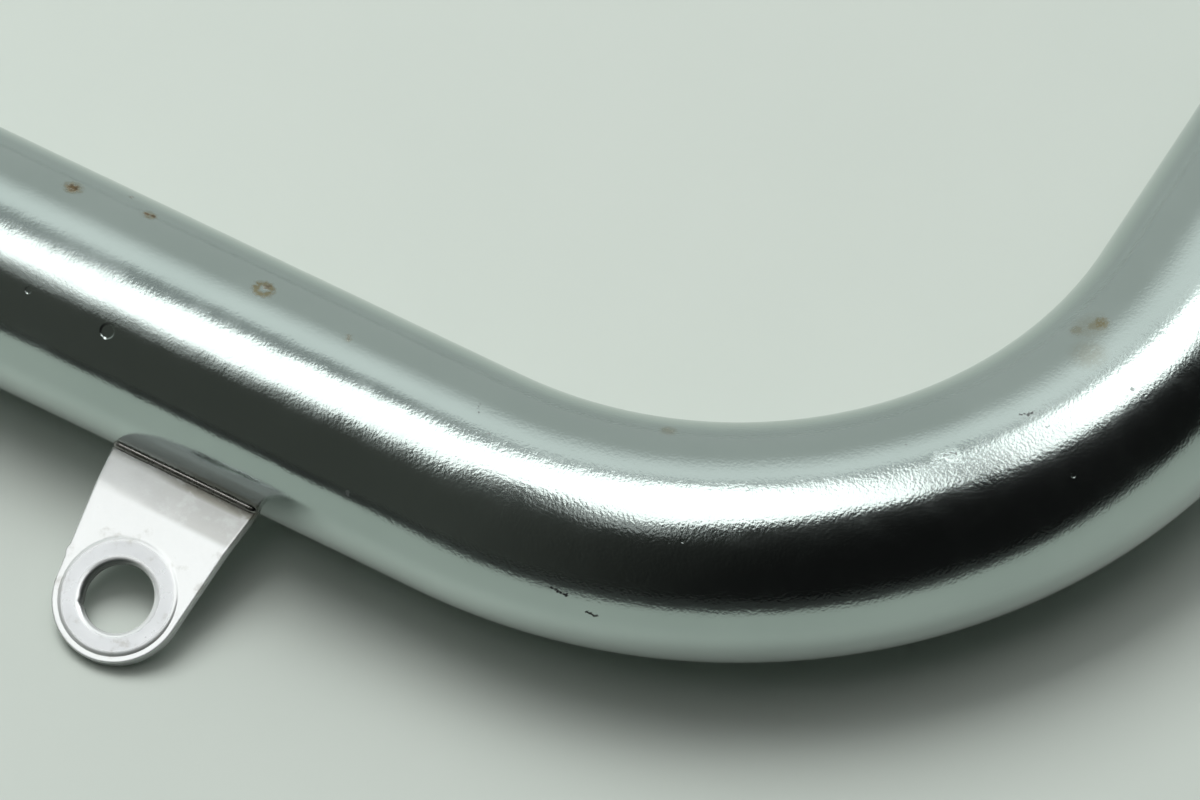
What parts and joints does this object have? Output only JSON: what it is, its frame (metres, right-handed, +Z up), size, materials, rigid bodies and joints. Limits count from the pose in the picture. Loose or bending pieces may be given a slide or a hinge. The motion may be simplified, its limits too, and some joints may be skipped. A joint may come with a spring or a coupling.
{
  "type": "bent tube",
  "caption": "Chrome-plated round steel tube with a right-angle bend and open ends, and a small lug brazed to its side whose collared hole takes a bolt.",
  "frame": {"origin": "centre of leg A's open end, on the tube's axis", "axes": "+X along leg A towards the bend, +Y along leg B away from the bend, +Z up, square to the plane that the tube lies in"},
  "size_m": [0.1571, 0.1488, 0.0222],
  "materials": {
    "tube_chrome": "bright chrome plate, with rust specks and fine scratches",
    "lug_chrome": "satin plate, a little dirty",
    "fillet_chrome": "plated braze metal"
  },
  "bodies": {
    "root": {"bent_tube": "tube_chrome", "mounting_lug": "lug_chrome", "braze_fillet": "fillet_chrome"}
  },
  "joints": []
}
